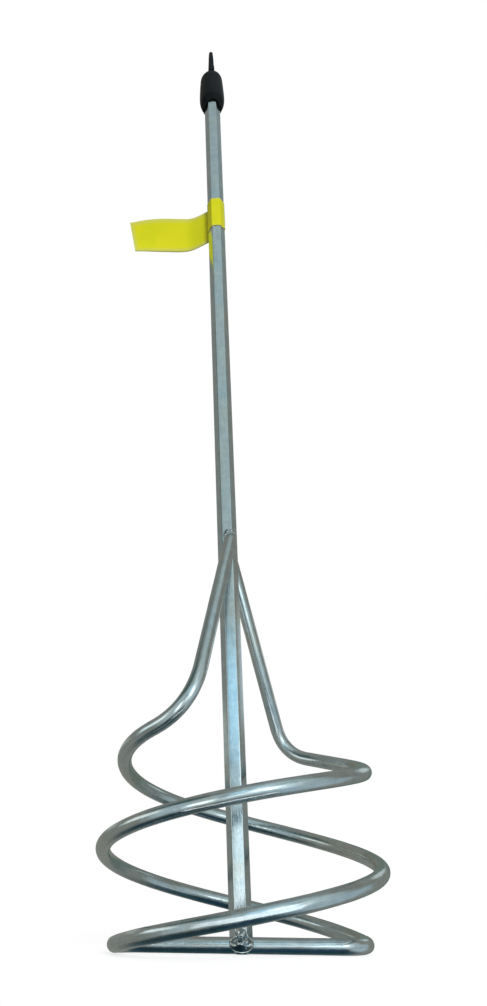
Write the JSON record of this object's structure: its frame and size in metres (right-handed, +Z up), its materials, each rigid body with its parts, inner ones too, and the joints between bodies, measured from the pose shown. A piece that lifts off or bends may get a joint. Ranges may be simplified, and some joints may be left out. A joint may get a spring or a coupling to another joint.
{
  "type": "mortar mixing paddle",
  "caption": "Hexagonal drive shank with a double-helix cage of round rods welded to its lower third, a soft hanging cap and a folded paper label.",
  "frame": {"origin": "on the shank's centre line, at the underside of the foot bar", "axes": "+Z up the shank towards its drive end; the foot bar runs along X; the shank's two welded flats face -Y (front) and +Y (back)"},
  "size_m": [0.1459, 0.1413, 0.6245],
  "materials": {
    "shank_zinc": "bright zinc plate over drawn hexagonal bar, faint bluish passivation",
    "rod_zinc": "bright zinc plate over drawn round rod, fine lengthwise drawing marks",
    "weld_zinc": "rippled weld metal under the same zinc plate",
    "cap_pvc": "soft black dip-moulded plastic, satin",
    "label_paper": "plain yellow label paper, unprinted"
  },
  "bodies": {
    "paddle": {"hex_shank": "shank_zinc", "front_rod": "rod_zinc", "back_rod": "rod_zinc", "front_top_weld": "weld_zinc", "back_top_weld": "weld_zinc", "front_foot_weld": "weld_zinc", "back_foot_weld": "weld_zinc", "size_label": "label_paper"},
    "cap": {"hang_cap": "cap_pvc"}
  },
  "joints": [
    {"name": "cap_pull", "type": "slide", "parent": "paddle", "child": "cap", "axis": [0, 0, 1], "range_m": [0, 0.045]}
  ]
}
